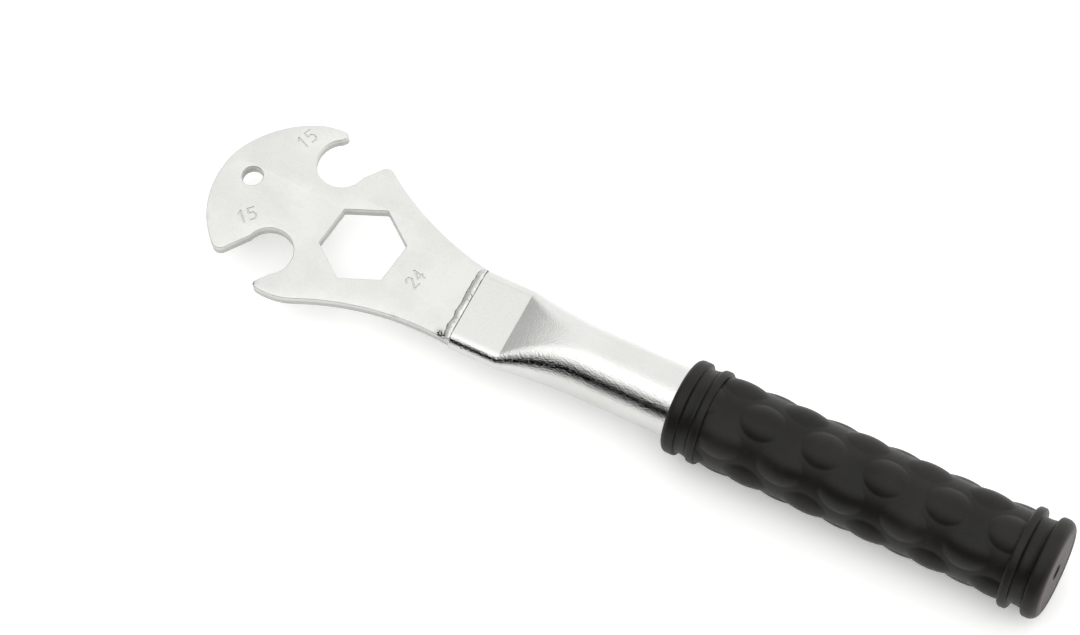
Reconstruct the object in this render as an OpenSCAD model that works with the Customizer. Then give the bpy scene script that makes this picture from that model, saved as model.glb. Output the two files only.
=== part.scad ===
// Pedal wrench: flat steel head with two 15 mm jaws and a 24 mm hexagon, tube handle, moulded rubber grip.
// Millimetres. +X runs along the handle from the head to the grip's end, +Y across, +Z is the plate's normal.
// Stations along X are counted from the hexagon's centre, heights from the handle's axis.

/* [Head plate] */
// Thickness of the steel plate
plate_t = 4.2; // [3.5:0.1:6]
// Radius of the head's round outline
head_r = 30.4; // [27:0.1:33]
// Radius of the flatter outline behind the hanging hole
crown_r = 36.5; // [33.5:0.1:40]
// Turn of the hexagon and of both jaws away from the handle
head_turn = -7; // [-9:0.5:-4]
// Radius of the lower horn's round back
horn_r = 22.2; // [20:0.1:23.5]
// Radius of the hollow curve along the neck's upper side
neck_top_r = 105; // [80:1:130]
// Half width of the neck at the handle's end, upper side
neck_top = 13.9; // [11:0.1:14.1]
// Half width of the neck at the handle's end, lower side
neck_low = 13.2; // [11:0.1:14.1]

/* [Jaws, hexagon and hanging hole] */
// Opening of both jaws across the flats
jaw_w = 15.2; // [14.5:0.1:16.5]
// Radius of the upper jaw's throat
throat_up_r = 8.4; // [8.2:0.1:9.5]
// Radius of the lower jaw's throat
throat_low_r = 8.1; // [8:0.1:9]
// Hexagon across the flats
hex_w = 24.1; // [22:0.1:26]
// Hexagon's centre, off the handle's axis
hex_y = 4.7; // [3:0.1:6]
// Diameter of the hanging hole
hang_d = 6.8; // [5:0.1:8]
// Rounding of the broad horn tips
tip_r = 2.8; // [1.5:0.1:3.2]
// Rounding of the pointed horn tips
point_r = 1.3; // [0.8:0.1:1.8]
// Depth of the stamped size marks
mark_depth = 0.25; // [0.1:0.05:0.5]
// Height of the stamped size marks
mark_h = 4.2; // [3:0.1:5]

/* [Handle tube] */
// Outside diameter of the round tube
tube_d = 22.9; // [21:0.1:24]
// Wall of the tube
tube_wall = 2; // [1.5:0.1:2.5]
// Width of the flattened end
flat_w = 28.7; // [27:0.1:30]
// Station of the tube's flattened end
tube_x0 = 40.1; // [38:0.1:42]
// Length of the flat, from the tube's end to its crease
flat_l = 16.6; // [12:0.1:20]
// Length over which the flat swells into the round tube
swell_l = 28; // [22:0.5:32]
// Length of the plate's tongue inside the flattened end
tongue_l = 14; // [8:0.1:16]

/* [Weld] */
// Length of each bead along the plate
bead_l = 3.4; // [2:0.1:5]
// Height of each bead above the plate's face
bead_h = 1.8; // [1:0.1:1.9]
// Radius of the bead's crowned face
bead_r = 3.4; // [3:0.1:8]

/* [Grip] */
// Station of the grip's front face
grip_x0 = 113.9; // [108:0.1:118]
// Length of the grip
grip_l = 126.9; // [120:0.1:132]
// Diameter of the grip's body between the bumps
grip_d = 28.2; // [27:0.1:29]
// Height of the front flange, and of the ring behind it, above the body
front_h = 1.3; // [1:0.1:2.5]
// Height of the end ring above the body
ring_h = 2.4; // [1:0.1:3]
// Height of the end flange above the body
end_h = 2.2; // [1:0.1:3]
// Thickness of the grip's end wall
end_wall = 2.8; // [2:0.1:4]
// Diameter of the small hole in the end wall
vent_d = 5; // [3:0.1:7]
// Spacing of the bumps along the grip
bump_pitch = 20.7; // [19:0.1:21.5]
// Height of the bumps
bump_h = 1.3; // [0.8:0.1:1.6]
// Length of one bump
bump_l = 14.9; // [12:0.1:16]
// Width of one bump
bump_w = 12.1; // [9:0.1:12.5]

/* [Hidden] */
$fn = 64;
c_plate = [0.78, 0.78, 0.76];
c_tube = [0.8, 0.8, 0.79];
c_bead = [0.7, 0.7, 0.68];
c_grip = [0.045, 0.045, 0.048];

function unit(v) = v / norm(v);
// The two points where a line meets a circle: q on the line, u its direction, c and r the circle, s the side
function meet(q, u, c, r, s) = let (w = q - c, b = w * u) q + u * (-b + s * sqrt(b * b - (w * w - r * r)));

// outline centres
c_head = [-23, 7.1];
c_crown = [-18.3, 2.2];
c_horn = [-20, -1.4];
c_hang = [-43, 10.7];
// jaws: direction of the opening, and the throat's centre on each jaw's middle line
jaw_dir = 60 + head_turn;
ju = [cos(jaw_dir), sin(jaw_dir)];
jn = [sin(jaw_dir), -cos(jaw_dir)];
c_up = [-19.3, 27];
c_low = [-25.8, -10.4];
jaw_h = jaw_w / 2;
// hollow neck curves: the upper one ends at the neck's half width, the lower one runs on from the horn's back
c_neck = [56.9, 0] + [0, neck_top + sqrt(pow(neck_top_r, 2) - pow(56.9 - tube_x0, 2))];
// lower curve: centre over one station, tangent to the horn's disc and through the neck's lower corner
low_x = 30;
low_a = tube_x0 - low_x;
low_e = low_x - c_horn[0];
low_y0 = -neck_low;
// radius R with centre (low_x, y): (y - low_y0)^2 + low_a^2 = R^2
// and low_e^2 + (y - c_horn.y)^2 = (R + horn_r)^2
low_k = c_horn[1] - low_y0;
low_m = low_e * low_e + low_k * low_k - low_a * low_a - horn_r * horn_r;
// with t = low_y0 - y: R^2 = t^2 + low_a^2, 2 horn_r R = low_m + 2 low_k t
low_qa = low_k * low_k - horn_r * horn_r;
low_qb = low_m * low_k;
low_qc = low_m * low_m / 4 - horn_r * horn_r * low_a * low_a;
low_t = (-low_qb - sqrt(low_qb * low_qb - 4 * low_qa * low_qc)) / (2 * low_qa);
low_c = [low_x, low_y0 - low_t];
low_r = sqrt(low_t * low_t + low_a * low_a);
low_touch = c_horn + horn_r * unit(low_c - c_horn);

// sharp corners of the four horns, and the centres of their roundings
// the upper left horn ends on the head's round or on the crown, whichever comes first
by_head = meet(c_up - jn * (jaw_h + point_r), ju, c_head, head_r - point_r, 1);
by_crown = meet(c_up - jn * (jaw_h + point_r), ju, c_crown, crown_r - point_r, 1);
on_head = norm(by_head - c_up) < norm(by_crown - c_up);
c_ul = on_head ? c_head : c_crown;
r_ul = on_head ? head_r : crown_r;
k_ul = meet(c_up - jn * jaw_h, ju, c_ul, r_ul, 1);
f_ul = on_head ? by_head : by_crown;
k_ur = meet(c_up + jn * jaw_h, ju, c_neck, neck_top_r, -1);
f_ur = meet(c_up + jn * (jaw_h + tip_r), ju, c_neck, neck_top_r + tip_r, -1);
k_ll = meet(c_low - jn * jaw_h, -ju, c_head, head_r, 1);
f_ll = meet(c_low - jn * (jaw_h + tip_r), -ju, c_head, head_r - tip_r, 1);
k_lr = meet(c_low + jn * jaw_h, -ju, c_horn, horn_r, 1);
f_lr = meet(c_low + jn * (jaw_h + point_r), -ju, c_horn, horn_r - point_r, 1);

// the tips' roundings sit this far inside the outline
tip_in = 0.02;

// whole part
grip_x1 = grip_x0 + grip_l;
grip_r = grip_d / 2;
front_r = grip_r + front_h;
ring_r = grip_r + ring_h;
end_r = grip_r + end_h;
top_r = max(front_r, max(ring_r, end_r));
mid_x = (c_head[0] - head_r + grip_x1) / 2;
mid_y = (c_head[1] + head_r + c_horn[1] - horn_r) / 2;
// tube: half thickness and half width of the flat outside and inside, end of the tube inside the grip
flat_h = plate_t / 2 + tube_wall;
tube_r = tube_d / 2;
bore_r = tube_r - tube_wall;
crease_x = tube_x0 + flat_l;
round_x = crease_x + swell_l;
tube_x1 = grip_x1 - end_wall;
tongue_h = flat_w / 2 - flat_h - 0.1;
// bumps: the arc's radius along the grip and the radius across it
bump_al = (bump_l * bump_l / 4 + bump_h * bump_h) / (2 * bump_h);
bump_top = grip_r + bump_h;
bump_base = sqrt(grip_r * grip_r - bump_w * bump_w / 4);
bump_c = (bump_top * bump_top - grip_r * grip_r) / (2 * (bump_top - bump_base));
bump_ac = bump_top - bump_c;
// rings of the grip, and the first bump's middle
front_x1 = grip_x0 + 4.5;
ring_x0 = grip_x0 + 8.5;
ring_x1 = ring_x0 + 3;
last_x0 = grip_x1 - 13.1;
last_x1 = last_x0 + 3.1;
flange_x0 = grip_x1 - 5.5;
bump_x0 = grip_x0 + 7.5;

module place() translate([-mid_x, -mid_y, top_r]) children();

// Plate-thick solids: a disc, a sheet with the given corners, and the cutters that run past both faces
module disc(c, r) translate([c[0], c[1], -plate_t / 2]) cylinder(h = plate_t, r = r);
module sheet(p) translate([0, 0, -plate_t / 2]) linear_extrude(plate_t) polygon(p);
module cut_disc(c, r) translate([c[0], c[1], -plate_t]) cylinder(h = 2 * plate_t, r = r);
module cut_sheet(p) translate([0, 0, -plate_t]) linear_extrude(2 * plate_t) polygon(p);

// The cut that takes a sharp corner away in front of its rounding: k is the corner, f the rounding's centre,
// q and u the wall's line, g the rounding's other tangent point
module corner_cut(k, f, q, u, g) {
    wall = q + u * ((f - q) * u);
    cut_sheet([f, f + 1.4 * (wall - f), k + 2 * (k - f), f + 1.4 * (g - f)]);
}

module jaw_slot(c, s, r) {
    cut_disc(c, r);
    cut_sheet([c - jn * jaw_h, c + jn * jaw_h, c + jn * jaw_h + s * ju * 45, c - jn * jaw_h + s * ju * 45]);
}

// One straight stroke of a mark, run on a little at both ends so that strokes join
module stroke(a, b, w = 0.5) {
    u = (b - a) / norm(b - a);
    n = w / 2 * [-u[1], u[0]];
    e = w * 0.35 * u;
    polygon([a - e + n, b + e + n, b + e - n, a - e - n]);
}

// digits in a cell of 0.55 by 1 of the mark's height
module digit(d) {
    h = mark_h;
    w = 0.52 * mark_h;
    if (d == 1) {
        stroke([w * 0.55, 0], [w * 0.55, h]);
        stroke([w * 0.55, h], [w * 0.15, h * 0.78]);
    }
    if (d == 5) {
        stroke([w, h], [w * 0.12, h]);
        stroke([w * 0.12, h], [w * 0.08, h * 0.58]);
        stroke([w * 0.08, h * 0.58], [w * 0.7, h * 0.6]);
        stroke([w * 0.7, h * 0.6], [w, h * 0.4]);
        stroke([w, h * 0.4], [w, h * 0.2]);
        stroke([w, h * 0.2], [w * 0.7, 0]);
        stroke([w * 0.7, 0], [w * 0.05, h * 0.03]);
    }
    if (d == 2) {
        stroke([0.02 * w, h * 0.8], [w * 0.3, h]);
        stroke([w * 0.3, h], [w * 0.8, h * 0.96]);
        stroke([w * 0.8, h * 0.96], [w, h * 0.72]);
        stroke([w, h * 0.72], [0, 0]);
        stroke([0, 0], [w, 0]);
    }
    if (d == 4) {
        stroke([w * 0.72, 0], [w * 0.72, h]);
        stroke([w * 0.72, h], [0, h * 0.32]);
        stroke([0, h * 0.32], [w, h * 0.32]);
    }
}

module mark(p, turn, a, b) translate(p) rotate(turn) translate([-0.62 * mark_h, -mark_h / 2]) {
    digit(a);
    translate([0.78 * mark_h, 0]) digit(b);
}

module horned_sheet() difference() {
    union() {
        intersection() {
            disc(c_head, head_r);
            disc(c_crown, crown_r);
        }
        disc(c_horn, horn_r);
        sheet([c_up, k_ur, [tube_x0, k_ur[1]], [tube_x0, c_horn[1] - horn_r], low_touch, c_horn]);
    }
    cut_disc(c_neck, neck_top_r);
    cut_disc(low_c, low_r);
    jaw_slot(c_up, 1, throat_up_r);
    jaw_slot(c_low, -1, throat_low_r);
    corner_cut(k_ul, f_ul, c_up - jn * jaw_h, ju, c_ul + r_ul * unit(f_ul - c_ul));
    corner_cut(k_ur, f_ur, c_up + jn * jaw_h, ju, c_neck + neck_top_r * unit(f_ur - c_neck));
    corner_cut(k_ll, f_ll, c_low - jn * jaw_h, ju, c_head + head_r * unit(f_ll - c_head));
    corner_cut(k_lr, f_lr, c_low + jn * jaw_h, ju, c_horn + horn_r * unit(f_lr - c_horn));
}

// Flat head plate with jaws, hexagon, hanging hole, stamped marks and the tongue
module head_plate() color(c_plate) place() difference() {
    union() {
        horned_sheet();
        disc(f_ul, point_r - tip_in);
        disc(f_ur, tip_r - tip_in);
        disc(f_ll, tip_r - tip_in);
        disc(f_lr, point_r - tip_in);
        // tongue inside the tube's flattened end
        sheet([[tube_x0 - 1, -tongue_h], [tube_x0 + tongue_l, -tongue_h], [tube_x0 + tongue_l, tongue_h],
            [tube_x0 - 1, tongue_h]]);
    }
    translate([0, hex_y, -plate_t]) rotate(30 + head_turn)
        linear_extrude(2 * plate_t) circle(r = hex_w / 2 / cos(30), $fn = 6);
    cut_disc(c_hang, hang_d / 2);
    translate([0, 0, plate_t / 2 - mark_depth]) linear_extrude(mark_depth + 1) {
        mark([-33.7, 29.5], 67, 1, 5);
        mark([-37.9, -2.4], 44, 1, 5);
        mark([20.6, 1], 78, 2, 4);
    }
}

// One cross-section of the swelling tube: a is the half width, b the half height, both with round sides
skin_n = 48;
function section(x, a, b) = [for (i = [0:skin_n - 1])
    let (t = 360 * (i + 0.5) / skin_n, s = cos(t) > 0 ? 1 : -1) [x, s * (a - b) + b * cos(t), b * sin(t)]];
function swell(u) = u <= 0 ? 0 : u >= 1 ? 1 : 1 - (1 - u) * (1 - u);
// half heights of the flattened end's rings, whose flats then lie at the tube's outside and on the tongue
skin_out = flat_h / cos(180 / skin_n);
skin_in = plate_t / 2 / cos(180 / skin_n);
skin_u = [for (i = [0:12]) i / 12];
skin_x = concat([tube_x0], [for (u = skin_u) crease_x + u * swell_l], [round_x + 1]);
skin_s = concat([0], [for (u = skin_u) swell(u)], [1]);
skin_m = len(skin_x);
function skin_ring(i, r, a0, b0) = section(skin_x[i], a0 + (r - a0) * skin_s[i], b0 + (r - b0) * skin_s[i]);
skin_points = concat(
    [for (i = [0:skin_m - 1]) each skin_ring(i, tube_r - 0.02, flat_w / 2, skin_out)],
    [for (i = [0:skin_m - 1]) each skin_ring(i, bore_r + 0.04, flat_w / 2 - tube_wall, skin_in)]);
function skin_id(k, i, j) = k * skin_m * skin_n + i * skin_n + (j % skin_n);
skin_faces = concat(
    [for (i = [0:skin_m - 2]) for (j = [0:skin_n - 1]) each [
        [skin_id(0, i, j), skin_id(0, i + 1, j + 1), skin_id(0, i, j + 1)],
        [skin_id(0, i, j), skin_id(0, i + 1, j), skin_id(0, i + 1, j + 1)],
        [skin_id(1, i, j), skin_id(1, i, j + 1), skin_id(1, i + 1, j + 1)],
        [skin_id(1, i, j), skin_id(1, i + 1, j + 1), skin_id(1, i + 1, j)]]],
    [for (j = [0:skin_n - 1]) each [
        [skin_id(0, 0, j), skin_id(0, 0, j + 1), skin_id(1, 0, j + 1)],
        [skin_id(0, 0, j), skin_id(1, 0, j + 1), skin_id(1, 0, j)],
        [skin_id(0, skin_m - 1, j), skin_id(1, skin_m - 1, j + 1), skin_id(0, skin_m - 1, j + 1)],
        [skin_id(0, skin_m - 1, j), skin_id(1, skin_m - 1, j), skin_id(1, skin_m - 1, j + 1)]]]);

// Round tube, flattened over the plate's tongue
module handle_tube() color(c_tube) place() {
    polyhedron(skin_points, skin_faces);
    difference() {
        translate([round_x + 0.4, 0, 0]) rotate([0, 90, 0]) cylinder(h = tube_x1 - round_x - 0.4, r = tube_r);
        translate([round_x - 1, 0, 0]) rotate([0, 90, 0]) cylinder(h = tube_x1 - round_x + 2, r = bore_r);
    }
}

// A crowned bead in the corner between the plate's face and the tube's end, cut to the flat's round sides
module bead() {
    a = [tube_x0 - bead_l, plate_t / 2];
    b = [tube_x0, plate_t / 2 + bead_h];
    m = (a + b) / 2;
    n = unit([b[1] - a[1], a[0] - b[0]]);
    c = m + n * sqrt(bead_r * bead_r - norm(b - a) * norm(b - a) / 4);
    intersection() {
        translate([0, neck_top - 0.4, 0]) rotate([90, 0, 0]) linear_extrude(neck_top + neck_low - 0.8)
            intersection() {
                translate(c) circle(bead_r);
                translate(a) square([bead_l, bead_h]);
            }
        translate([tube_x0 - bead_l - 1, 0, 0]) rotate([90, 0, 90]) linear_extrude(bead_l + 2) {
            square([flat_w - 2 * flat_h, 2 * flat_h], center = true);
            for (s = [-1, 1]) translate([s * (flat_w / 2 - flat_h), 0]) circle(flat_h);
        }
    }
}

// Weld bead on the upper face
module weld_top() color(c_bead) place() bead();

// Weld bead on the lower face
module weld_bottom() color(c_bead) place() mirror([0, 0, 1]) bead();

// Half outline of a ring round the X axis, from x0 to x1, with its two outer edges rounded
module band(x0, x1, r, f0, f1) {
    polygon([[tube_r - 1, x0], [r - f0, x0], [r - f0, x0 + f0], [r, x0 + f0], [r, x1 - f1], [r - f1, x1 - f1],
        [r - f1, x1], [tube_r - 1, x1]]);
    translate([r - f0, x0 + f0]) circle(f0);
    translate([r - f1, x1 - f1]) circle(f1);
}

// One row of lens-shaped bumps along the grip, the outward sector of a body of revolution sunk in the sleeve
module bump_row(shift) rotate([0, 90, 0]) rotate(125) rotate_extrude(angle = 110) intersection() {
    for (i = [0:5]) translate([bump_ac - bump_al, bump_x0 + bump_pitch * (i + shift)]) circle(bump_al);
    translate([0, ring_x0 + 1]) square([bump_al, last_x1 - ring_x0 - 2]);
}

// Moulded rubber sleeve with end wall, flanges, rings and staggered bumps
module grip() color(c_grip) place() difference() {
    union() {
        rotate([0, 90, 0]) rotate_extrude() {
            band(grip_x0, front_x1, front_r, 1.9, 0.6);
            band(ring_x0, ring_x1, front_r, 1.3, 0.7);
            polygon([[0, grip_x0 + 2.5], [grip_r, grip_x0 + 2.5], [grip_r, grip_x1 - 3], [0, grip_x1 - 3]]);
            band(last_x0, last_x1, ring_r, 1.3, 0.9);
            band(flange_x0, grip_x1, end_r, 1.4, 3.3);
            polygon([[0, grip_x1 - 4], [grip_r - 1.5, grip_x1 - 4], [grip_r - 1.5, grip_x1], [0, grip_x1]]);
        }
        for (k = [0:7]) rotate([45 * k, 0, 0]) translate([0, 0, bump_c]) bump_row(k % 2 == 0 ? 0 : 0.5);
    }
    translate([grip_x0 - 1, 0, 0]) rotate([0, 90, 0]) cylinder(h = tube_x1 - grip_x0 + 1, r = tube_r);
    translate([grip_x0, 0, 0]) rotate([0, 90, 0]) cylinder(h = grip_l + 5, d = vent_d);
}

head_plate();
handle_tube();
weld_top();
weld_bottom();
grip();
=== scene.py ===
"""Pedal wrench: detailed pieces, finishes and studio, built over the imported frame.

Sizes are in metres. Stations along the handle are counted from the hexagon's centre, heights from the
handle's axis, and `place` moves them into the frame.
"""

import math

import bmesh
import bpy
from bpy.props import FloatProperty, FloatVectorProperty, IntProperty, PointerProperty
from mathutils import Matrix, Vector, noise


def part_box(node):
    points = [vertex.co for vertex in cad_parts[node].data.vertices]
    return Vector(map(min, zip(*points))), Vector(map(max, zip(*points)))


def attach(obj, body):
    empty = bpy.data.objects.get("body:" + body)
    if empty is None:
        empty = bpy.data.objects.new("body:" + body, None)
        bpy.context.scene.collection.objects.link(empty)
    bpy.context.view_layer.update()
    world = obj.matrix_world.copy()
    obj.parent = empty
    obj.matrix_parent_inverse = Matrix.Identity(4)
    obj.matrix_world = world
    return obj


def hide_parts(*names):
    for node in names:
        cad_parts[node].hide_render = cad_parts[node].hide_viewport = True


bl_info = {
    "name": "Pedal wrench",
    "version": (1, 0, 0),
    "blender": (4, 5, 0),
    "location": "View3D > Sidebar > Pedal wrench",
    "description": "Builds a pedal wrench: stamped head, flattened tube handle, weld beads and moulded grip",
    "category": "Object",
}

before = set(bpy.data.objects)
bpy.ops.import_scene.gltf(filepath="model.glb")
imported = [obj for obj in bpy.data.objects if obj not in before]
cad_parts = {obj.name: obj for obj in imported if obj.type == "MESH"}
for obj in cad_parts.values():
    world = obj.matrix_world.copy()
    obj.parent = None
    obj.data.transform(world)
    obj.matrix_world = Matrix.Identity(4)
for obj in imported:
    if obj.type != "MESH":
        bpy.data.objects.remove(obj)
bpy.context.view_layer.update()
MM = 0.001
GRIP_LOW, GRIP_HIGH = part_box("grip")
GRIP_END = 240.8 * MM
# the handle's axis, and the hexagon's station, in the frame
ORIGIN = Vector((GRIP_HIGH.x - GRIP_END, (GRIP_LOW.y + GRIP_HIGH.y) / 2, (GRIP_LOW.z + GRIP_HIGH.z) / 2))


def length(name, description, default):
    """A size in metres that the user may change."""
    return FloatProperty(name=name, description=description, default=default, min=0.0, precision=5, unit="LENGTH")


def colour(name, description, default):
    """A finish's colour."""
    return FloatVectorProperty(name=name, description=description, default=default, size=3, min=0.0, max=1.0, subtype="COLOR")


class HeadSettings(bpy.types.PropertyGroup):
    """Sizes and colour of the stamped head plate."""

    thickness: length("Plate thickness", "Thickness of the head plate", 4.2 * MM)
    edge: length("Edge rounding", "Rounding that stamping left along the plate's edges", 0.32 * MM)
    jaw: length("Jaw opening", "Opening of both jaws across the flats", 15.2 * MM)
    hexagon: length("Hexagon", "Hexagon hole across its flats", 24.1 * MM)
    hanging_hole: length("Hanging hole", "Diameter of the hanging hole", 6.8 * MM)
    mark_height: length("Mark height", "Height of the stamped size marks", 4.2 * MM)
    mark_depth: length("Mark depth", "Depth of the stamped size marks", 0.25 * MM)
    metal: colour("Plate colour", "Colour of the satin plated steel", (0.61, 0.613, 0.592))


class TubeSettings(bpy.types.PropertyGroup):
    """Sizes and colour of the handle tube."""

    diameter: length("Tube diameter", "Outside diameter of the round tube", 22.9 * MM)
    wall: length("Tube wall", "Wall of the tube", 2 * MM)
    flat_width: length("Flat width", "Width of the flattened end", 28.7 * MM)
    start: length("Tube start", "Station of the tube's flattened end", 40.1 * MM)
    flat: length("Flat length", "Length of the flat up to its crease", 16.6 * MM)
    swell: length("Swell length", "Length over which the flat grows round", 28 * MM)
    metal: colour("Tube colour", "Colour of the bright plated tube", (0.6, 0.6, 0.585))


class WeldSettings(bpy.types.PropertyGroup):
    """Sizes and colour of the weld beads."""

    reach: length("Bead length", "Length of the bead along the plate", 3.3 * MM)
    rise: length("Bead height", "Height of the bead above the plate", 1.75 * MM)
    ripple: length("Ripple", "Spacing of the ripples along the bead", 1.9 * MM)
    metal: colour("Bead colour", "Colour of the plated weld bead", (0.72, 0.72, 0.7))


class GripSettings(bpy.types.PropertyGroup):
    """Sizes and colour of the rubber grip."""

    start: length("Grip start", "Station of the grip's front face", 113.9 * MM)
    body: length("Body diameter", "Diameter between the bumps", 28.2 * MM)
    front: length("Front flange", "Diameter of the front flange and the ring behind it", 30.8 * MM)
    ring: length("End ring", "Diameter of the end ring", 33 * MM)
    flange: length("End flange", "Diameter of the end flange", 32.6 * MM)
    pitch: length("Bump spacing", "Spacing of the bumps along the grip", 20.7 * MM)
    bump_length: length("Bump length", "Length of one bump", 14.9 * MM)
    bump_width: length("Bump width", "Width of one bump", 12.1 * MM)
    bump_height: length("Bump height", "Height of the bumps", 1.3 * MM)
    vent: length("Vent", "Diameter of the hole in the end wall", 5 * MM)
    rows: IntProperty(name="Rows", description="Rows of bumps around the grip", default=8, min=2, max=16)
    rubber: colour("Rubber colour", "Colour of the moulded rubber", (0.0052, 0.0046, 0.0041))


class StageSettings(bpy.types.PropertyGroup):
    """Floor, light and camera."""

    floor: colour("Floor", "Colour of the floor", (0.92, 0.92, 0.915))
    glow: FloatProperty(name="Floor glow", description="Light that comes up through the floor", default=0.22, min=0.0)
    brightness: FloatProperty(name="Surroundings", description="Brightness of the soft surroundings", default=1.4, min=0.0)
    lens: FloatProperty(name="Lens", description="Focal length", default=151.9, min=1.0, unit="CAMERA")


GROUPS = (
    ("wrench_head", HeadSettings),
    ("wrench_tube", TubeSettings),
    ("wrench_weld", WeldSettings),
    ("wrench_grip", GripSettings),
    ("wrench_stage", StageSettings),
)


# ---------------------------------------------------------------- meshes


def place(x, y, z):
    """A point of the handle's own frame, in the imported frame."""
    return ORIGIN + Vector((x, y, z))


def new_object(name, verts, faces, smooth_angle=30.0):
    """A mesh object with smooth faces and sharp edges above the angle."""
    mesh = bpy.data.meshes.new(name)
    mesh.from_pydata([tuple(v) for v in verts], [], faces)
    mesh.validate()
    obj = bpy.data.objects.new(name, mesh)
    bpy.context.scene.collection.objects.link(obj)
    shade(mesh, smooth_angle)
    return obj


def shade(mesh, angle):
    """Smooth faces, with the edges sharper than the angle left sharp."""
    for polygon in mesh.polygons:
        polygon.use_smooth = True
    mesh.set_sharp_from_angle(angle=math.radians(angle))
    mesh.update()


def seat(obj, material, node):
    """Gives a piece its finish and its place in the frame, and hides the node that it stands for."""
    obj.data.materials.clear()
    obj.data.materials.append(material)
    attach(obj, "root")
    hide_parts(node)


def rings_to_faces(count, around, first=0):
    """Quads between rings of points that follow each other."""
    faces = []
    for i in range(count - 1):
        for j in range(around):
            a, b = first + i * around + j, first + i * around + (j + 1) % around
            faces.append((a, b, b + around, a + around))
    return faces


# ---------------------------------------------------------------- head plate outline

HEAD = Vector((-23.0, 7.1)) * MM
HEAD_R = 30.4 * MM
CROWN = Vector((-18.3, 2.2)) * MM
CROWN_R = 36.5 * MM
HORN = Vector((-20.0, -1.4)) * MM
HORN_R = 22.2 * MM
UPPER_THROAT = Vector((-19.3, 27.0)) * MM
UPPER_THROAT_R = 8.4 * MM
LOWER_THROAT = Vector((-25.8, -10.4)) * MM
LOWER_THROAT_R = 8.1 * MM
HANG = Vector((-43.0, 10.7)) * MM
TURN = math.radians(-7.0)
NECK_TOP_R = 105 * MM
NECK_TOP = 13.9 * MM
NECK_LOW = 13.2 * MM
NECK_X = 40.1 * MM
BROAD_TIP = 2.8 * MM
POINTED_TIP = 1.3 * MM
TONGUE = 14 * MM


def meet(start, direction, centre, radius, side):
    """Where a line meets a circle, on the near (-1) or far (1) side."""
    w = start - centre
    b = w.dot(direction)
    return start + direction * (-b + side * math.sqrt(b * b - (w.dot(w) - radius * radius)))


def angle_of(point, centre):
    """Direction of a point from a centre."""
    return math.atan2(point.y - centre.y, point.x - centre.x)


def arc(centre, radius, start, end, turn, step=0.45 * MM):
    """Points of an arc from one angle to another, turning left (1) or right (-1)."""
    sweep = (end - start) * turn % (2 * math.pi)
    count = max(2, round(sweep * radius / step))
    angles = [start + turn * sweep * i / count for i in range(count + 1)]
    return [centre + radius * Vector((math.cos(a), math.sin(a))) for a in angles]


def lower_curve():
    """Centre and radius of the hollow under the neck: it runs on from the horn's back to the neck's corner."""
    x = 30 * MM
    along, across = NECK_X - x, x - HORN.x
    k = HORN.y + NECK_LOW
    m = across**2 + k**2 - along**2 - HORN_R**2
    qa, qb, qc = k * k - HORN_R**2, m * k, m * m / 4 - (HORN_R * along) ** 2
    t = (-qb - math.sqrt(qb * qb - 4 * qa * qc)) / (2 * qa)
    return Vector((x, -NECK_LOW - t)), math.hypot(t, along)


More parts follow.
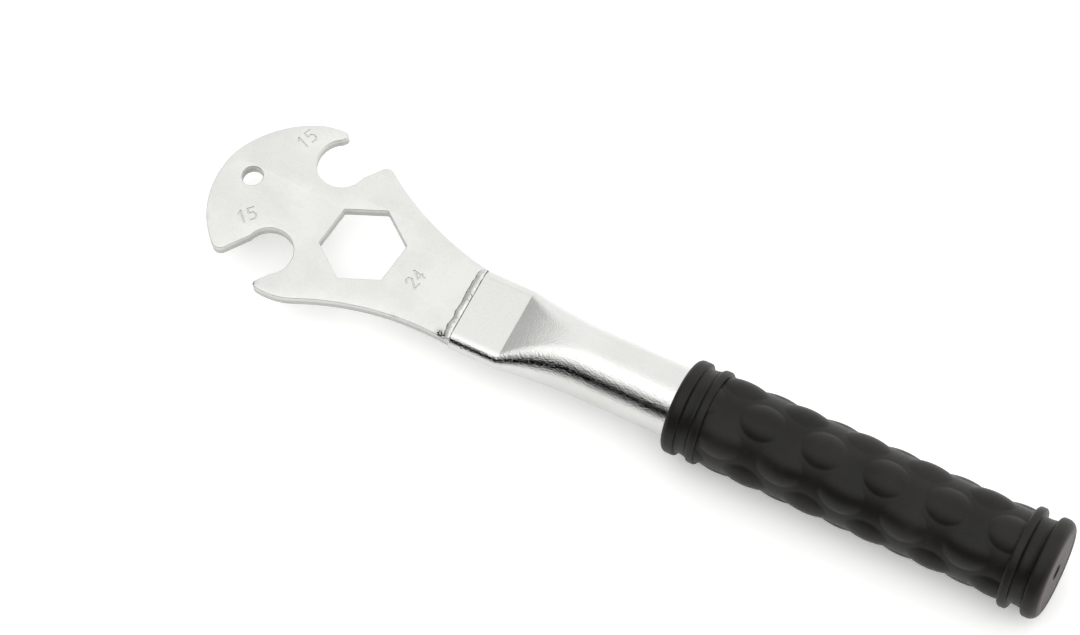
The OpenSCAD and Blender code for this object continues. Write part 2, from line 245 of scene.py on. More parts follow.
def head_outline(jaw):
    """The plate's outline, turning left, with the narrower tongue that lies in the tube."""
    out = Vector((math.cos(math.pi / 3 + TURN), math.sin(math.pi / 3 + TURN)))
    side = Vector((out.y, -out.x))
    half = jaw / 2
    neck_c = Vector((56.9 * MM, NECK_TOP + math.sqrt(NECK_TOP_R**2 - (56.9 * MM - NECK_X) ** 2)))
    low_c, low_r = lower_curve()
    touch = HORN + HORN_R * (low_c - HORN).normalized()

    def wall(throat, s, back):
        return throat + side * (s * (half + back))

    tips = {
        "upper_left": meet(wall(UPPER_THROAT, -1, POINTED_TIP), out, HEAD, HEAD_R - POINTED_TIP, 1),
        "upper_right": meet(wall(UPPER_THROAT, 1, BROAD_TIP), out, neck_c, NECK_TOP_R + BROAD_TIP, -1),
        "lower_left": meet(wall(LOWER_THROAT, -1, BROAD_TIP), -out, HEAD, HEAD_R - BROAD_TIP, 1),
        "lower_right": meet(wall(LOWER_THROAT, 1, POINTED_TIP), -out, HORN, HORN_R - POINTED_TIP, 1),
    }
    points = []
    # round head, from the upper horn's point over the far side to the lower horn
    a0, a1 = angle_of(tips["upper_left"], HEAD), angle_of(tips["lower_left"], HEAD)
    for p in arc(HEAD, HEAD_R, a0, a1, 1):
        ray = (p - HEAD).normalized()
        far = (meet(HEAD, ray, CROWN, CROWN_R, 1) - HEAD).length
        points.append(HEAD + ray * min(HEAD_R, far))
    wall_in = math.atan2(side.y, side.x)
    wall_out = wall_in + math.pi
    points += arc(tips["lower_left"], BROAD_TIP, a1, wall_in, 1)
    left = meet(wall(LOWER_THROAT, -1, 0), out, LOWER_THROAT, LOWER_THROAT_R, -1)
    right = meet(wall(LOWER_THROAT, 1, 0), out, LOWER_THROAT, LOWER_THROAT_R, -1)
    points += arc(LOWER_THROAT, LOWER_THROAT_R, angle_of(left, LOWER_THROAT), angle_of(right, LOWER_THROAT), -1)
    points += arc(tips["lower_right"], POINTED_TIP, wall_out, angle_of(tips["lower_right"], HORN), 1)
    points += arc(HORN, HORN_R, angle_of(tips["lower_right"], HORN), angle_of(touch, HORN), 1)[1:]
    corner = Vector((NECK_X, -NECK_LOW))
    points += arc(low_c, low_r, angle_of(touch, low_c), angle_of(corner, low_c), -1)[1:]
    narrow = 9.4 * MM
    points += [Vector((NECK_X, -narrow)), Vector((NECK_X + TONGUE, -narrow)), Vector((NECK_X + TONGUE, narrow)), Vector((NECK_X, narrow))]
    corner = Vector((NECK_X, NECK_TOP))
    points += arc(neck_c, NECK_TOP_R, angle_of(corner, neck_c), angle_of(tips["upper_right"], neck_c), -1)
    points += arc(tips["upper_right"], BROAD_TIP, angle_of(neck_c, tips["upper_right"]), wall_out, 1)[1:]
    right = meet(wall(UPPER_THROAT, 1, 0), -out, UPPER_THROAT, UPPER_THROAT_R, -1)
    left = meet(wall(UPPER_THROAT, -1, 0), -out, UPPER_THROAT, UPPER_THROAT_R, -1)
    points += arc(UPPER_THROAT, UPPER_THROAT_R, angle_of(right, UPPER_THROAT), angle_of(left, UPPER_THROAT), -1)
    points += arc(tips["upper_left"], POINTED_TIP, wall_in, a0, 1)[:-1]
    return points


# Strokes of the numerals, in a cell one unit high
STROKES = {
    "1": (((0.29, 0), (0.29, 1)), ((0.29, 1), (0.08, 0.78))),
    "5": (
        ((0.52, 1), (0.06, 1)), ((0.06, 1), (0.04, 0.58)), ((0.04, 0.58), (0.36, 0.6)), ((0.36, 0.6), (0.52, 0.4)),
        ((0.52, 0.4), (0.52, 0.2)), ((0.52, 0.2), (0.36, 0)), ((0.36, 0), (0.03, 0.03)),
    ),
    "2": (((0.01, 0.8), (0.16, 1)), ((0.16, 1), (0.42, 0.96)), ((0.42, 0.96), (0.52, 0.72)), ((0.52, 0.72), (0, 0)), ((0, 0), (0.52, 0))),
    "4": (((0.37, 0), (0.37, 1)), ((0.37, 1), (0, 0.32)), ((0, 0.32), (0.52, 0.32))),
}
MARKS = (("15", (-33.7, 29.5), 67), ("15", (-37.9, -2.4), 44), ("24", (20.6, 1.0), 78))


# Dark spots painted on the plate, each a ragged core with a faint halo: station, offset across and reach, in
# millimetres
SPOTS = ((36.2, -12.0, 1.0), (37.6, -12.4, 0.9), (-24.9, -22.4, 0.8), (-49.6, -9.0, 0.5), (20.5, -13.6, 0.4))


def stamp_cutter(settings):
    """Wedge-shaped strokes of all the marks, as one mesh to sink into the plate's face."""
    bm = bmesh.new()
    top = settings.thickness / 2
    h = settings.mark_height
    for text, centre, turn in MARKS:
        frame_turn = Matrix.Rotation(math.radians(turn), 2)
        for index, digit in enumerate(text):
            for start, end in STROKES[digit]:
                a = Vector(start) * h + Vector((0.78 * h * index - 0.62 * h, -h / 2))
                b = Vector(end) * h + Vector((0.78 * h * index - 0.62 * h, -h / 2))
                a, b = frame_turn @ a + Vector(centre) * MM, frame_turn @ b + Vector(centre) * MM
                u = (b - a).normalized()
                n = Vector((-u.y, u.x))
                loops = []
                for z, w, e in ((top - settings.mark_depth, 0.13 * MM, 0.1 * MM), (top + 0.2 * MM, 0.4 * MM, 0.28 * MM)):
                    corners = (a - u * e + n * w, b + u * e + n * w, b + u * e - n * w, a - u * e - n * w)
                    loops.append([bm.verts.new(place(c.x, c.y, z)) for c in corners])
                low, high = loops
                bm.faces.new(low)
                bm.faces.new(high[::-1])
                for i in range(4):
                    j = (i + 1) % 4
                    bm.faces.new((low[j], low[i], high[i], high[j]))
    bmesh.ops.recalc_face_normals(bm, faces=bm.faces)
    mesh = bpy.data.meshes.new("stamp_cutter")
    bm.to_mesh(mesh)
    bm.free()
    obj = bpy.data.objects.new("stamp_cutter", mesh)
    bpy.context.scene.collection.objects.link(obj)
    return obj


def plate_sheet(settings):
    """The plate as a filled curve with rolled edges, turned into a mesh."""
    curve = bpy.data.curves.new("head_outline", "CURVE")
    curve.dimensions = "2D"
    curve.fill_mode = "BOTH"
    curve.extrude = settings.thickness / 2 - settings.edge
    curve.bevel_depth = settings.edge
    curve.bevel_resolution = 3
    curve.offset = -settings.edge
    apothem = settings.hexagon / 2
    corners = [Vector((0, 4.7 * MM)) + apothem / math.cos(math.pi / 6) * Vector((math.cos(a), math.sin(a)))
               for a in (math.radians(30 + 60 * i) + TURN for i in range(6))]
    hexagon = []
    for i, corner in enumerate(corners):
        for other, order in ((corners[i - 1], 0), (corners[(i + 1) % 6], 1)):
            hexagon.append(corner + (other - corner).normalized() * 0.25 * MM)
    hole = arc(HANG, settings.hanging_hole / 2, 0, 2 * math.pi - 0.001, 1, 0.3 * MM)[:-1]
    for points in (head_outline(settings.jaw), hexagon, hole):
        spline = curve.splines.new("POLY")
        spline.points.add(len(points) - 1)
        for target, p in zip(spline.points, points):
            target.co = (p.x, p.y, 0, 1)
        spline.use_cyclic_u = True
    sheet = bpy.data.objects.new("head_outline", curve)
    bpy.context.scene.collection.objects.link(sheet)
    bpy.context.view_layer.update()
    mesh = bpy.data.meshes.new_from_object(sheet.evaluated_get(bpy.context.evaluated_depsgraph_get()))
    mesh.name = "plated_head"
    mesh.transform(Matrix.Translation(ORIGIN))
    bpy.data.objects.remove(sheet)
    bpy.data.curves.remove(curve)
    bm = bmesh.new()
    bm.from_mesh(mesh)
    bmesh.ops.remove_doubles(bm, verts=bm.verts, dist=2e-6)
    bmesh.ops.recalc_face_normals(bm, faces=bm.faces)
    bm.to_mesh(mesh)
    bm.free()
    obj = bpy.data.objects.new("plated_head", mesh)
    bpy.context.scene.collection.objects.link(obj)
    return obj


# ---------------------------------------------------------------- tube


def section(x, half_width, half_height, around):
    """One ring of the tube: flat above and below, round at both sides."""
    points = []
    for i in range(around):
        t = 2 * math.pi * (i + 0.5) / around
        s = 1 if math.cos(t) > 0 else -1
        points.append(place(x, s * (half_width - half_height) + half_height * math.cos(t), half_height * math.sin(t)))
    return points


def swelling(u):
    """How far the flat has grown round, from 0 at the crease to 1."""
    if u <= 0:
        return 0.0
    return 1 - (1 - min(u, 1.0)) ** 2


def tube_mesh(settings, plate, end, around=144):
    """Outside and inside of the tube, joined at both ends."""
    crease = settings.start + settings.flat
    radius = settings.diameter / 2
    half_flat = plate / 2 + settings.wall
    lip = 0.25 * MM
    stations = [(settings.start, 0.0, lip), (settings.start + 0.08 * MM, 0.0, 0.1 * MM), (settings.start + lip, 0.0, 0.0)]
    stations += [(settings.start + settings.flat * f, 0.0, 0.0) for f in (0.25, 0.5, 0.75, 0.92, 0.975)]
    for i in range(61):
        u = (i / 60) ** 1.35
        x = crease + settings.swell * u
        # the crease is a little rounded: its first ring is lifted off the corner
        stations.append((x, swelling(u) + (0.004 if i == 0 else 0.0), 0.0))
    stations += [(crease + settings.swell + (end - crease - settings.swell) * f, 1.0, 0.0) for f in (0.1, 0.3, 0.6, 1.0)]
    verts = []
    for x, s, back in stations:
        verts += section(x, settings.flat_width / 2 * (1 - s) + radius * s - back, half_flat * (1 - s) + radius * s - back, around)
    bore, slot = radius - settings.wall, plate / 2
    for x, s, back in reversed(stations):
        verts += section(x, (settings.flat_width / 2 - settings.wall) * (1 - s) + bore * s, slot * (1 - s) + bore * s, around)
    count = len(stations) * 2
    faces = rings_to_faces(count, around)
    faces += [((count - 1) * around + j, (count - 1) * around + (j + 1) % around, (j + 1) % around, j) for j in range(around)]
    return [f[::-1] for f in faces], verts


# ---------------------------------------------------------------- weld bead


def bead_mesh(settings, plate, side):
    """A rippled bead in the corner between the plate's face (side 1 above, -1 below) and the tube's end."""
    rows, across = 260, 16
    low, high = -NECK_LOW + 0.5 * MM, NECK_TOP - 0.5 * MM
    verts, toes = [], []
    for i in range(rows + 1):
        f = i / rows
        y = low + (high - low) * f
        taper = min(1.0, 4.5 * min(f, 1 - f) + 0.25)
        taper = math.sqrt(max(0.02, 1 - (1 - taper) ** 2))
        phase = (y / settings.ripple + 0.35 * noise.noise(Vector((y / (3 * MM), 7.1 * side, 0)))) % 1.0
        scale = 0.82 + 0.18 * math.sin(math.pi * phase) ** 0.6
        wander = noise.noise(Vector((y / (2.2 * MM), 3.3, side)))
        reach = settings.reach * taper * (0.9 + 0.16 * wander) * (0.93 + 0.07 * scale)
        rise = settings.rise * taper * (0.94 + 0.06 * wander)
        for j in range(across + 1):
            g = j / across
            bulge = math.sin(math.pi * g) ** 0.8 * 0.2 * MM * scale * taper
            rough = noise.noise(Vector((y / (0.5 * MM), g * 5, 11 * side))) * 0.06 * MM * math.sin(math.pi * g)
            x = NECK_X - reach * (1 - g)
            z = rise * math.sin(math.pi / 2 * g) ** 0.85
            n = Vector((-rise, reach)).normalized()
            x += n.x * (bulge + rough)
            z += n.y * (bulge + rough)
            z = min(z, settings.rise * 0.99)
            verts.append(place(max(x, NECK_X - 3.4 * MM), y, side * (plate / 2 + max(z, 0.0))))
            toes.append(1 - min(1.0, min(g * 4.5, (1 - g) * 9)))
    faces = []
    for i in range(rows):
        for j in range(across):
            a = i * (across + 1) + j
            quad = (a, a + 1, a + across + 2, a + across + 1)
            faces.append(quad if side < 0 else quad[::-1])
    # flat sides on the plate and against the tube's end close the bead
    first = len(verts)
    for i in range(rows + 1):
        y = verts[i * (across + 1)].y - ORIGIN.y
        verts.append(place(NECK_X, y, side * plate / 2))
        toes.append(1.0)
    for i in range(rows):
        a, b = i * (across + 1), (i + 1) * (across + 1)
        c, d = first + i, first + i + 1
        faces.append((a, c, d, b) if side > 0 else (b, d, c, a))
        faces.append((a + across, b + across, d, c) if side > 0 else (c, d, b + across, a + across))
    ends = [list(range(0, across + 1)) + [first], list(range(rows * (across + 1), rows * (across + 1) + across + 1)) + [first + rows]]
    faces.append(tuple(ends[0]) if side > 0 else tuple(ends[0][::-1]))
    faces.append(tuple(ends[1][::-1]) if side > 0 else tuple(ends[1]))
    return verts, faces, toes


# ---------------------------------------------------------------- grip


def band(points, x0, x1, radius, first, last, steps=7):
    """Adds a ring of the grip's profile with its two edges rounded."""
    for i in range(steps + 1):
        a = math.pi / 2 * i / steps
        points.append((x0 + first - first * math.cos(a), radius - first + first * math.sin(a), 0))
    for i in range(steps + 1):
        a = math.pi / 2 * i / steps
        points.append((x1 - last + last * math.sin(a), radius - last + last * math.cos(a), 0))


def grip_profile(s):
    """Half section of the grip as (station, radius, 1 where bumps stand), from the tube's face to the vent."""
    end = GRIP_END
    core = s.body / 2
    tube = 11.47 * MM
    p = [(s.start + 2.4 * MM, tube, 0), (s.start + 0.5 * MM, tube, 0), (s.start + 0.12 * MM, tube + 0.12 * MM, 0), (s.start, tube + 0.5 * MM, 0)]
    band(p, s.start, s.start + 4.5 * MM, s.front / 2, 1.9 * MM, 0.6 * MM)
    hollow = s.start + 4.5 * MM
    p += [(hollow + 0.05 * MM, core + 0.15 * MM, 0), (hollow + 0.4 * MM, core - 0.12 * MM, 0), (hollow + 1.6 * MM, core - 0.08 * MM, 0)]
    p += [(hollow + 2.9 * MM, core + 0.1 * MM, 0), (hollow + 3.7 * MM, core + 0.4 * MM, 0)]
    ring = s.start + 8.5 * MM
    band(p, ring, ring + 3 * MM, s.front / 2, 1.1 * MM, 0.7 * MM)
    body0, body1 = ring + 3.1 * MM, end - 13.2 * MM
    count = 350
    p += [(body0 + (body1 - body0) * i / count, core, 1) for i in range(count + 1)]
    last = end - 13.1 * MM
    band(p, last, last + 3.1 * MM, s.ring / 2, 1.2 * MM, 0.8 * MM)
    p += [(end - 9.85 * MM, core + 0.3 * MM, 0), (end - 9.2 * MM, core, 0), (end - 7.8 * MM, core + 0.05 * MM, 0), (end - 5.8 * MM, core + 0.3 * MM, 0)]
    band(p, end - 5.5 * MM, end, s.flange / 2, 1.3 * MM, 3.2 * MM)
    rim = s.flange / 2 - 3.2 * MM
    p += [(end, rim - 0.4 * MM, 0), (end - 0.2 * MM, rim - 0.8 * MM, 0), (end - 0.25 * MM, rim - 2.2 * MM, 0), (end - 0.25 * MM, rim - 5 * MM, 0)]
    vent = s.vent / 2
    p += [(end - 0.3 * MM, vent + 1.2 * MM, 0), (end - 0.3 * MM, vent + 0.35 * MM, 0), (end - 0.4 * MM, vent + 0.08 * MM, 0), (end - 0.7 * MM, vent, 0), (end - 2.7 * MM, vent, 0)]
    return p


def bump_height(s, x, angle):
    """Radius of the bumps' surface at a station and an angle about the axis, 0 where there is none."""
    core = s.body / 2
    top = core + s.bump_height
    base = math.sqrt(core**2 - (s.bump_width / 2) ** 2)
    centre = (top**2 - core**2) / (2 * (top - base))
    across = top - centre
    along = (s.bump_length**2 / 4 + s.bump_height**2) / (2 * s.bump_height)
    row_turn = 2 * math.pi / s.rows
    best = 0.0
    nearest = round(angle / row_turn)
    for row in (nearest - 1, nearest, nearest + 1):
        phi = angle - row * row_turn
        shift = 0.0 if row % 2 == 0 else 0.5
        middle = s.start + 7.5 * MM
        i = round((x - middle) / s.pitch - shift)
        dx = x - (middle + s.pitch * (i + shift))
        if abs(dx) >= along:
            continue
        r = across - along + math.sqrt(along**2 - dx**2)
        inside = r**2 - (centre * math.sin(phi)) ** 2
        if r <= 0 or inside <= 0 or math.cos(phi) <= 0:
            continue
        best = max(best, centre * math.cos(phi) + math.sqrt(inside))
    return best


def grip_mesh(s, around=256):
    """The grip's skin: its profile turned about the axis, with the bumps raised on the body."""
    profile = grip_profile(s)
    soft = 0.08 * MM
    verts = []
    for x, radius, bumpy in profile:
        for j in range(around):
            # angle 0 is the top, turning towards -Y
            t = 2 * math.pi * j / around
            r = radius
            if bumpy:
                b = bump_height(s, x, t)
                d = b - r
                if d > soft:
                    r = b
                elif d > -soft:
                    # rounded foot where a bump leaves the body
                    r = max(r, b) + (soft - abs(d)) ** 2 / (4 * soft)
            verts.append(place(x, -r * math.sin(t), r * math.cos(t)))
    return verts, rings_to_faces(len(profile), around)


# ---------------------------------------------------------------- finishes


class Nodes:
    """Short ways to build a material's node tree."""

    def __init__(self, name):
        self.material = bpy.data.materials.new(name)
        self.material.use_nodes = True
        self.tree = self.material.node_tree
        self.shader = next(n for n in self.tree.nodes if n.type == "BSDF_PRINCIPLED")
        self.place = self.add("ShaderNodeTexCoord").outputs["Object"]

    def add(self, kind, **settings):
        node = self.tree.nodes.new(kind)
        node.location = (-220 * (len(self.tree.nodes) % 9), -160 * (len(self.tree.nodes) // 9))
        for key, value in settings.items():
            setattr(node, key, value)
        return node

    def link(self, source, target):
        self.tree.links.new(source, target)

    def put(self, socket, value):
        if isinstance(value, bpy.types.NodeSocket):
            self.link(value, socket)
        else:
            socket.default_value = value

    def noise(self, scale, detail=3.0, roughness=0.55, vector=None, distortion=0.0):
        node = self.add("ShaderNodeTexNoise")
        self.put(node.inputs["Vector"], self.place if vector is None else vector)
        node.inputs["Scale"].default_value = scale
        node.inputs["Detail"].default_value = detail
        node.inputs["Roughness"].default_value = roughness
        node.inputs["Distortion"].default_value = distortion
        return node.outputs["Fac"]

    def cells(self, scale, feature="F1"):
        node = self.add("ShaderNodeTexVoronoi", feature=feature)
        self.link(self.place, node.inputs["Vector"])
        node.inputs["Scale"].default_value = scale
        return node.outputs["Distance"]

    def stretch(self, x, y, z):
        node = self.add("ShaderNodeMapping")
        self.link(self.place, node.inputs["Vector"])
        node.inputs["Scale"].default_value = (x, y, z)
        return node.outputs["Vector"]

    def range(self, value, low, high, to_low=0.0, to_high=1.0, smooth=True):
        node = self.add("ShaderNodeMapRange", interpolation_type="SMOOTHSTEP" if smooth else "LINEAR")
        self.link(value, node.inputs["Value"])
        for name, number in (("From Min", low), ("From Max", high), ("To Min", to_low), ("To Max", to_high)):
            node.inputs[name].default_value = number
        return node.outputs["Result"]

    def math(self, operation, a, b=0.0):
        node = self.add("ShaderNodeMath", operation=operation)
        self.put(node.inputs[0], a)
        self.put(node.inputs[1], b)
        return node.outputs[0]

    def mix(self, factor, a, b):
        node = self.add("ShaderNodeMix", data_type="RGBA")
        self.put(node.inputs["Factor"], factor)
        for socket, value in ((node.inputs["A"], a), (node.inputs["B"], b)):
            self.put(socket, value if isinstance(value, bpy.types.NodeSocket) else (*value[:3], 1.0))
        return node.outputs["Result"]

    def bump(self, height, strength, distance, normal=None):
        node = self.add("ShaderNodeBump")
        node.inputs["Strength"].default_value = strength
        node.inputs["Distance"].default_value = distance
        self.link(height, node.inputs["Height"])
        if normal is not None:
            self.link(normal, node.inputs["Normal"])
        return node.outputs["Normal"]

    def distance(self, point):
        node = self.add("ShaderNodeVectorMath", operation="DISTANCE")
        self.link(self.place, node.inputs[0])
        node.inputs[1].default_value = point
        return node.outputs["Value"]

    def axis(self, index, source=None):
        node = self.add("ShaderNodeSeparateXYZ")
        self.link(self.place if source is None else source, node.inputs[0])
        return node.outputs[index]


def satin_plate(name, base, mid_height):
    """Dull plated sheet: fine speckle, slow mottling, sheared walls that are rough below, and painted shade along the
    walls' bottom edge.
    """
    n = Nodes(name)
    n.shader.inputs["Metallic"].default_value = 1.0
    mottle = n.noise(90, 4, 0.6)
    speckle = n.noise(2600, 2, 0.5)
    patches = n.noise(28, 2, 0.5)
    normal = n.add("ShaderNodeNewGeometry").outputs["Normal"]
    wall = n.range(n.math("ABSOLUTE", n.axis(2, normal)), 0.35, 0.75, 1.0, 0.0)
    height = n.math("SUBTRACT", n.axis(2), mid_height)
    torn = n.math("MULTIPLY", wall, n.range(height, 0.0009, -0.0002))
    # painted shade: the lowest part of every wall is picked out to be darkened
    bottom_edge_shade = n.math("MULTIPLY", wall, n.range(height, -0.0014, -0.0021))
    dark = tuple(c * 0.945 for c in base)
    tone = n.mix(n.range(mottle, 0.35, 0.68), dark, base)
    tone = n.mix(n.math("MULTIPLY", n.range(speckle, 0.52, 0.75), 0.22), tone, tuple(c * 0.62 for c in base))
    tone = n.mix(n.math("MULTIPLY", torn, 0.4), tone, tuple(c * 0.5 for c in base))
    # painted shade along the bottom edge of the walls, almost black
    tone = n.mix(n.math("MULTIPLY", bottom_edge_shade, 0.65), tone, (0.09, 0.088, 0.085))
    for x, y, reach in SPOTS:
        spot = n.range(n.distance(place(x * MM, y * MM, 2.1 * MM)), (reach + 2.0) * MM, reach * MM)
        ragged = n.range(n.noise(1500, 2, 0.5), 0.4, 0.55)
        near = n.range(n.distance(place(x * MM, y * MM, 2.1 * MM)), (reach + 0.4) * MM, (reach - 0.2) * MM)
        tone = n.mix(n.math("MULTIPLY", near, ragged), tone, (0.02, 0.02, 0.019))
        tone = n.mix(n.math("MULTIPLY", spot, 0.12), tone, (0.02, 0.02, 0.019))
    n.link(tone, n.shader.inputs["Base Color"])
    rough = n.math("ADD", n.range(patches, 0.3, 0.7, 0.385, 0.43), n.range(speckle, 0.35, 0.7, -0.03, 0.06))
    rough = n.math("ADD", rough, n.math("MULTIPLY", torn, 0.12))
    n.link(rough, n.shader.inputs["Roughness"])
    grain = n.math("ADD", n.noise(1700, 3, 0.6), n.math("MULTIPLY", n.noise(420, 2, 0.5), 0.8))
    streak = n.noise(900, 2, 0.5, n.stretch(1, 1, 0.06))
    surface = n.bump(grain, 0.35, 0.00006)
    surface = n.bump(n.math("MULTIPLY", streak, torn), 0.8, 0.00025, surface)
    n.link(surface, n.shader.inputs["Normal"])
    return n.material


def bright_tube(name, base, flat_end, round_start):
    """Bright plating over drawn steel: orange peel and tiny pits, dulled where the press flattened it."""
    n = Nodes(name)
    n.shader.inputs["Metallic"].default_value = 1.0
    cloud = n.noise(60, 3, 0.5)
    speckle = n.noise(2300, 2, 0.5)
    pits = n.cells(700)
    normal = n.add("ShaderNodeNewGeometry").outputs["Normal"]
    level = n.range(n.axis(2, normal), 0.93, 0.985)
    pressed = n.math("MULTIPLY", level, n.range(n.axis(0), round_start, flat_end))
    tone = n.mix(n.range(cloud, 0.35, 0.7), tuple(c * 0.95 for c in base), base)
    tone = n.mix(pressed, tone, tuple(c * 0.93 for c in base))
    tone = n.mix(n.math("MULTIPLY", n.range(speckle, 0.55, 0.78), 0.25), tone, tuple(c * 0.6 for c in base))
    tone = n.mix(n.math("MULTIPLY", n.range(pits, 0.1, 0.05), 0.6), tone, tuple(c * 0.6 for c in base))
    n.link(tone, n.shader.inputs["Base Color"])
    rough = n.range(cloud, 0.3, 0.7, 0.1, 0.13)
    n.link(n.math("ADD", rough, n.math("MULTIPLY", pressed, 0.24)), n.shader.inputs["Roughness"])
    peel = n.math("ADD", n.noise(2100, 2, 0.6), n.math("MULTIPLY", n.noise(900, 1, 0.5), 0.3))
    n.link(n.bump(peel, 0.6, 0.0002), n.shader.inputs["Normal"])
    return n.material


def plated_bead(name, base):
    """Weld metal under plating, with painted shade in the crevices along its toes, and pinholes."""
    n = Nodes(name)
    n.shader.inputs["Metallic"].default_value = 1.0
    toe = n.add("ShaderNodeAttribute", attribute_name="toe").outputs["Fac"]
    blotch = n.noise(1100, 3, 0.6)
    # painted shade: the crevices along both toes of the bead are darkened in patches
    toe_crevice_shade = n.math("MULTIPLY", n.range(toe, 0.1, 0.8), n.range(blotch, 0.3, 0.52))
    pin = n.math("MULTIPLY", n.range(n.noise(1700, 1, 0.5), 0.66, 0.72), 0.8)
    tone = n.mix(n.range(n.noise(300, 3, 0.5), 0.35, 0.7), tuple(c * 0.8 for c in base), base)
    tone = n.mix(n.math("MAXIMUM", toe_crevice_shade, pin), tone, (0.03, 0.03, 0.028))
    n.link(tone, n.shader.inputs["Base Color"])
    n.link(n.range(blotch, 0.3, 0.7, 0.34, 0.5), n.shader.inputs["Roughness"])
    n.link(n.bump(blotch, 0.5, 0.00012), n.shader.inputs["Normal"])
    return n.material


def moulded_rubber(name, base, end_x):
    """Soft black rubber: fine grain, a faint bloom, dust specks, a paler end face."""
    n = Nodes(name)
    cloud = n.noise(45, 4, 0.6)
    grain = n.noise(1500, 3, 0.6)
    dust = n.range(n.cells(260), 0.085, 0.035)
    few = n.range(n.noise(70, 2, 0.5), 0.6, 0.68)
    specks = n.math("MULTIPLY", dust, few)
    bloom = tuple(c * 1.9 + 0.004 for c in base)
    tone = n.mix(n.range(cloud, 0.35, 0.7), base, bloom)
    tone = n.mix(n.math("MULTIPLY", specks, 0.5), tone, (0.34, 0.33, 0.31))
    face = n.range(n.axis(0), end_x - 0.0006, end_x - 0.0002)
    tone = n.mix(n.math("MULTIPLY", face, 0.75), tone, (0.06, 0.046, 0.039))
    n.link(tone, n.shader.inputs["Base Color"])
    n.link(n.math("ADD", n.range(cloud, 0.3, 0.7, 0.42, 0.5), n.range(grain, 0.3, 0.7, -0.03, 0.05)), n.shader.inputs["Roughness"])
    n.shader.inputs["Specular IOR Level"].default_value = 0.21
    surface = n.bump(grain, 0.3, 0.00006)
    surface = n.bump(cloud, 0.25, 0.0006, surface)
    n.link(surface, n.shader.inputs["Normal"])
    return n.material


def paper_floor(name, base, glow):
    """Pale sweep under the tool, lit a little from below."""
    n = Nodes(name)
    n.shader.inputs["Emission Color"].default_value = (1.0, 1.0, 0.995, 1.0)
    n.shader.inputs["Emission Strength"].default_value = glow
    tone = n.mix(n.range(n.noise(6, 2, 0.5), 0.3, 0.7), base, tuple(c * 0.985 for c in base))
    n.link(tone, n.shader.inputs["Base Color"])
    n.shader.inputs["Roughness"].default_value = 0.9
    n.shader.inputs["Specular IOR Level"].default_value = 0.1
    return n.material


# ---------------------------------------------------------------- operators


class WRENCH_OT_head_plate(bpy.types.Operator):
    """Build the stamped head plate with its jaws, hexagon, hanging hole and size marks"""

    bl_idname = "wrench.head_plate"
    bl_label = "Head plate"

    def execute(self, context):
        settings = context.scene.wrench_head
        plate = plate_sheet(settings)
        cutter = stamp_cutter(settings)
        sink = plate.modifiers.new("stamp", "BOOLEAN")
        sink.operation = "DIFFERENCE"
        sink.solver = "EXACT"
        sink.use_self = True
        sink.object = cutter
        context.view_layer.update()
        mesh = bpy.data.meshes.new_from_object(plate.evaluated_get(context.evaluated_depsgraph_get()))
        plate.modifiers.clear()
        plate.data = mesh
        bpy.data.objects.remove(cutter)
        if len(mesh.polygons) < 500:
            raise RuntimeError("the size marks couldn't be sunk into the head plate")
        shade(mesh, 28)
        seat(plate, satin_plate("satin_plated_sheet", settings.metal, ORIGIN.z), "head_plate")
        return {"FINISHED"}


class WRENCH_OT_handle_tube(bpy.types.Operator):
    """Build the tube handle, flattened at the head and round under the grip"""

    bl_idname = "wrench.handle_tube"
    bl_label = "Handle tube"

    def execute(self, context):
        settings = context.scene.wrench_tube
        faces, verts = tube_mesh(settings, context.scene.wrench_head.thickness, GRIP_END - 2.9 * MM)
        tube = new_object("plated_tube", verts, faces, 20)
        crease = ORIGIN.x + settings.start + settings.flat
        finish = bright_tube("bright_plated_tube", settings.metal, crease + 0.5 * MM, crease + 6 * MM)
        seat(tube, finish, "handle_tube")
        return {"FINISHED"}


class WRENCH_OT_weld_beads(bpy.types.Operator):
    """Build the rippled weld beads on both faces of the plate"""

    bl_idname = "wrench.weld_beads"
    bl_label = "Weld beads"

    def execute(self, context):
        settings = context.scene.wrench_weld
        finish = plated_bead("plated_weld_bead", settings.metal)
        for name, node, side in (("upper_bead", "weld_top", 1), ("lower_bead", "weld_bottom", -1)):
            verts, faces, toes = bead_mesh(settings, context.scene.wrench_head.thickness, side)
            bead = new_object(name, verts, faces, 50)
            values = bead.data.attributes.new("toe", "FLOAT", "POINT")
            values.data.foreach_set("value", toes)
            seat(bead, finish, node)
        return {"FINISHED"}


class WRENCH_OT_grip(bpy.types.Operator):
    """Build the moulded rubber grip with its rings and staggered bumps"""

    bl_idname = "wrench.grip"
    bl_label = "Grip"

    def execute(self, context):
        settings = context.scene.wrench_grip
        verts, faces = grip_mesh(settings)
        grip = new_object("rubber_grip", verts, faces, 60)
        seat(grip, moulded_rubber("moulded_black_rubber", settings.rubber, GRIP_HIGH.x), "grip")
        return {"FINISHED"}


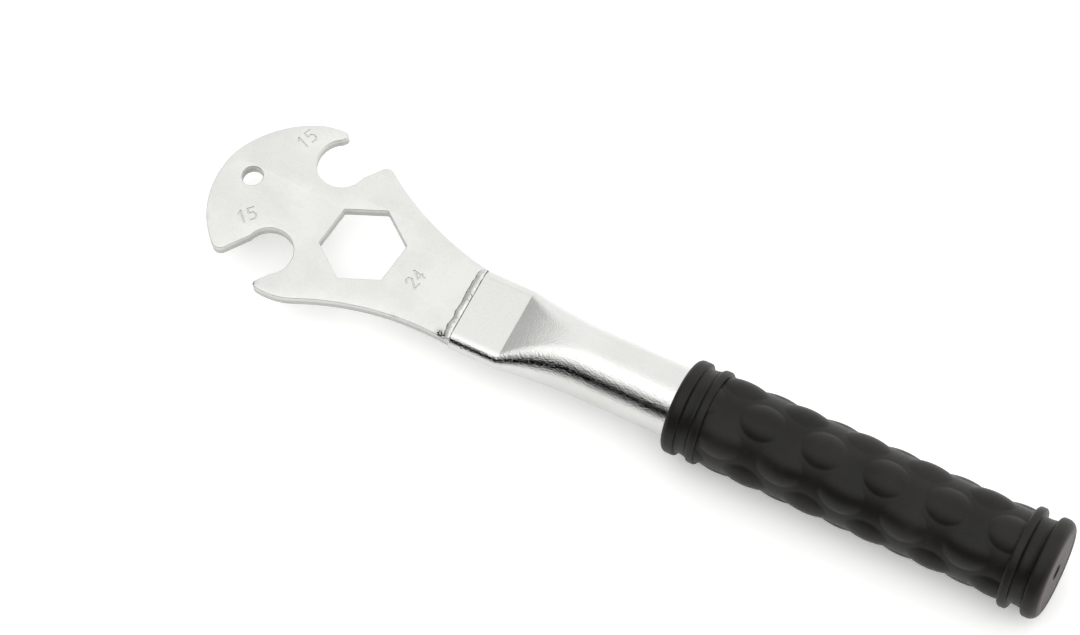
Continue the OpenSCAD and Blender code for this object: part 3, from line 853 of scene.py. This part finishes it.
class WRENCH_OT_stage(bpy.types.Operator):
    """Set up the pale floor, the soft light and the camera"""

    bl_idname = "wrench.stage"
    bl_label = "Stage"

    def execute(self, context):
        settings = context.scene.wrench_stage
        context.scene.view_settings.view_transform = "Standard"
        floor = new_object("floor", [(-3, -3, 0), (3, -3, 0), (3, 3, 0), (-3, 3, 0)], [(0, 1, 2, 3)])
        floor.data.materials.append(paper_floor("pale_floor", settings.floor, settings.glow))
        self.soft_surroundings(context, settings)
        self.aim_camera(context, settings)
        return {"FINISHED"}

    def soft_surroundings(self, context, settings):
        """White walls, a soft box overhead, the unlit room low in front and a dimmer side beyond the head."""
        world = bpy.data.worlds.new("studio")
        context.scene.world = world
        world.use_nodes = True
        tree = world.node_tree
        sky = next(n for n in tree.nodes if n.type == "BACKGROUND")

        def step(source, low, high, to_low, to_high):
            node = tree.nodes.new("ShaderNodeMapRange")
            node.interpolation_type = "SMOOTHSTEP"
            tree.links.new(source, node.inputs["Value"])
            for key, number in (("From Min", low), ("From Max", high), ("To Min", to_low), ("To Max", to_high)):
                node.inputs[key].default_value = number
            return node.outputs["Result"]

        def times(a, b):
            node = tree.nodes.new("ShaderNodeMath")
            node.operation = "MULTIPLY"
            tree.links.new(a, node.inputs[0])
            tree.links.new(b, node.inputs[1])
            return node.outputs[0]

        def plus(a, number):
            node = tree.nodes.new("ShaderNodeMath")
            node.operation = "ADD"
            tree.links.new(a, node.inputs[0])
            node.inputs[1].default_value = number
            return node.outputs[0]

        def less(a):
            node = tree.nodes.new("ShaderNodeMath")
            node.operation = "SUBTRACT"
            node.inputs[0].default_value = 1.0
            tree.links.new(a, node.inputs[1])
            return node.outputs[0]

        direction = tree.nodes.new("ShaderNodeTexCoord").outputs["Generated"]
        split = tree.nodes.new("ShaderNodeSeparateXYZ")
        tree.links.new(direction, split.inputs[0])
        x, y, z = split.outputs
        bright = settings.brightness
        front = times(step(y, -0.2, -0.55, 0, 1), step(z, 0.78, 0.62, 0, 1.0))
        head_side = times(step(x, -0.5, -0.8, 0, 1), step(z, 0.8, 0.5, 0, 0.5))
        box = times(step(y, 0.22, 0.02, 0, 0.4 * bright), step(z, 0.6, 0.8, 0, 1))
        level = times(times(less(front), less(head_side)), plus(box, bright))
        # what the camera itself sees past the floor's edge is plain and pale
        seen = tree.nodes.new("ShaderNodeLightPath").outputs["Is Camera Ray"]
        strength = tree.nodes.new("ShaderNodeMix")
        tree.links.new(seen, strength.inputs["Factor"])
        tree.links.new(level, strength.inputs["A"])
        strength.inputs["B"].default_value = 1.0
        tree.links.new(strength.outputs["Result"], sky.inputs["Strength"])
        sky.inputs["Color"].default_value = (1.0, 0.998, 0.99, 1.0)

    def aim_camera(self, context, settings):
        """The camera that was fitted to the photograph."""
        data = bpy.data.cameras.new("camera")
        data.sensor_width = 36.0
        data.lens = settings.lens
        data.clip_end = 20
        camera = bpy.data.objects.new("camera", data)
        look, right = Vector((-0.2391, 0.3617, -0.9011)).normalized(), Vector((0.8869, 0.4592, -0.051))
        right = (right - look * right.dot(look)).normalized()
        up = right.cross(look)
        turn = Matrix((right, up, -look)).transposed().to_4x4()
        camera.matrix_world = Matrix.Translation(place(0.4003, -0.5056, 1.2777)) @ turn
        context.scene.collection.objects.link(camera)
        context.scene.camera = camera


STEPS = (WRENCH_OT_stage, WRENCH_OT_head_plate, WRENCH_OT_handle_tube, WRENCH_OT_weld_beads, WRENCH_OT_grip)


class VIEW3D_PT_pedal_wrench(bpy.types.Panel):
    """Lists the wrench's pieces and their sizes"""

    bl_label = "Pedal wrench"
    bl_idname = "VIEW3D_PT_pedal_wrench"
    bl_space_type = "VIEW_3D"
    bl_region_type = "UI"
    bl_category = "Pedal wrench"

    def draw(self, context):
        for step in STEPS:
            self.layout.operator(step.bl_idname)
        for name, group in GROUPS:
            box = self.layout.box()
            settings = getattr(context.scene, name)
            for key in group.__annotations__:
                box.prop(settings, key)


def register():
    for name, group in GROUPS:
        bpy.utils.register_class(group)
        setattr(bpy.types.Scene, name, PointerProperty(type=group))
    for step in STEPS:
        bpy.utils.register_class(step)
    bpy.utils.register_class(VIEW3D_PT_pedal_wrench)


def unregister():
    bpy.utils.unregister_class(VIEW3D_PT_pedal_wrench)
    for step in reversed(STEPS):
        bpy.utils.unregister_class(step)
    for name, group in reversed(GROUPS):
        delattr(bpy.types.Scene, name)
        bpy.utils.unregister_class(group)


def main():
    """Builds everything."""
    register()
    bpy.ops.wrench.stage()
    bpy.ops.wrench.head_plate()
    bpy.ops.wrench.handle_tube()
    bpy.ops.wrench.weld_beads()
    bpy.ops.wrench.grip()


if __name__ == "__main__":
    main()
